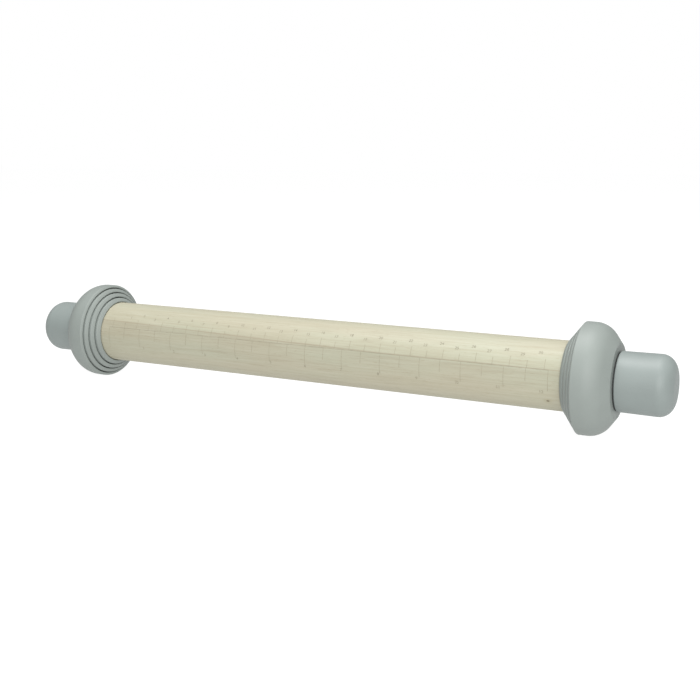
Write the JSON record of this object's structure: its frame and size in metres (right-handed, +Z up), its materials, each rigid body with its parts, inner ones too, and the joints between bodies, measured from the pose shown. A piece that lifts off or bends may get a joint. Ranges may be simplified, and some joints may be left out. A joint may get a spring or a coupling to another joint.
{
  "type": "adjustable rolling pin",
  "caption": "Wooden rolling pin with nested domed spacer rings at both ends that set the dough's thickness, clamped by screw-in knobs.",
  "frame": {"origin": "middle of the pin, on its axis", "axes": "+X along the pin towards the end that is nearer in the picture, +Z up, -Y towards the viewer with the scale facing it"},
  "size_m": [0.435, 0.0632, 0.0632],
  "materials": {
    "beech": "raw, fine-grained, pale, with a burnt scale",
    "ring_plastic": "matte cool grey-green",
    "knob_plastic": "matte cool grey-green, soft touch",
    "core_plastic": "moulded, plain",
    "washer_rubber": "matte black",
    "steel": "zinc-plated thread",
    "brass": "turned brass"
  },
  "bodies": {
    "barrel": {"barrel": "beech", "left_insert": "brass", "right_insert": "brass"},
    "left_small_ring": {"left_ring_small": "ring_plastic"},
    "left_medium_ring": {"left_ring_medium": "ring_plastic"},
    "left_large_ring": {"left_ring_large": "ring_plastic"},
    "left_outer_ring": {"left_ring_outer": "ring_plastic"},
    "left_washer": {"left_washer": "washer_rubber"},
    "left_knob": {"left_knob_shell": "knob_plastic", "left_knob_core": "core_plastic", "left_stud": "steel"},
    "right_small_ring": {"right_ring_small": "ring_plastic"},
    "right_medium_ring": {"right_ring_medium": "ring_plastic"},
    "right_large_ring": {"right_ring_large": "ring_plastic"},
    "right_outer_ring": {"right_ring_outer": "ring_plastic"},
    "right_washer": {"right_washer": "washer_rubber"},
    "right_knob": {"right_knob_shell": "knob_plastic", "right_knob_core": "core_plastic", "right_stud": "steel"}
  },
  "joints": [
    {"name": "left_small_ring_slide", "type": "slide", "parent": "barrel", "child": "left_small_ring", "axis": [-1, 0, 0], "range_m": [0, 0.03]},
    {"name": "left_medium_ring_slide", "type": "slide", "parent": "left_small_ring", "child": "left_medium_ring", "axis": [-1, 0, 0], "range_m": [0, 0.03]},
    {"name": "left_large_ring_slide", "type": "slide", "parent": "left_medium_ring", "child": "left_large_ring", "axis": [-1, 0, 0], "range_m": [0, 0.03]},
    {"name": "left_outer_ring_slide", "type": "slide", "parent": "left_large_ring", "child": "left_outer_ring", "axis": [-1, 0, 0], "range_m": [0, 0.03]},
    {"name": "left_screw_travel", "type": "slide", "parent": "left_outer_ring", "child": "left_washer", "axis": [-1, 0, 0], "range_m": [0, 0.0151]},
    {"name": "left_knob_turn", "type": "hinge", "parent": "left_washer", "child": "left_knob", "pos_m": [-0.18735, 0, 0], "axis": [-1, 0, 0], "range_deg": [0, 4320]},
    {"name": "right_small_ring_slide", "type": "slide", "parent": "barrel", "child": "right_small_ring", "axis": [1, 0, 0], "range_m": [0, 0.03]},
    {"name": "right_medium_ring_slide", "type": "slide", "parent": "right_small_ring", "child": "right_medium_ring", "axis": [1, 0, 0], "range_m": [0, 0.03]},
    {"name": "right_large_ring_slide", "type": "slide", "parent": "right_medium_ring", "child": "right_large_ring", "axis": [1, 0, 0], "range_m": [0, 0.03]},
    {"name": "right_outer_ring_slide", "type": "slide", "parent": "right_large_ring", "child": "right_outer_ring", "axis": [1, 0, 0], "range_m": [0, 0.03]},
    {"name": "right_screw_travel", "type": "slide", "parent": "right_outer_ring", "child": "right_washer", "axis": [1, 0, 0], "range_m": [0, 0.0151]},
    {"name": "right_knob_turn", "type": "hinge", "parent": "right_washer", "child": "right_knob", "pos_m": [0.18735, 0, 0], "axis": [1, 0, 0], "range_deg": [0, 4320]}
  ],
  "couplings": [
    {"joint": "left_screw_travel", "follows": "left_knob_turn", "m_per_rad": 0.00019894},
    {"joint": "right_screw_travel", "follows": "right_knob_turn", "m_per_rad": 0.00019894}
  ]
}
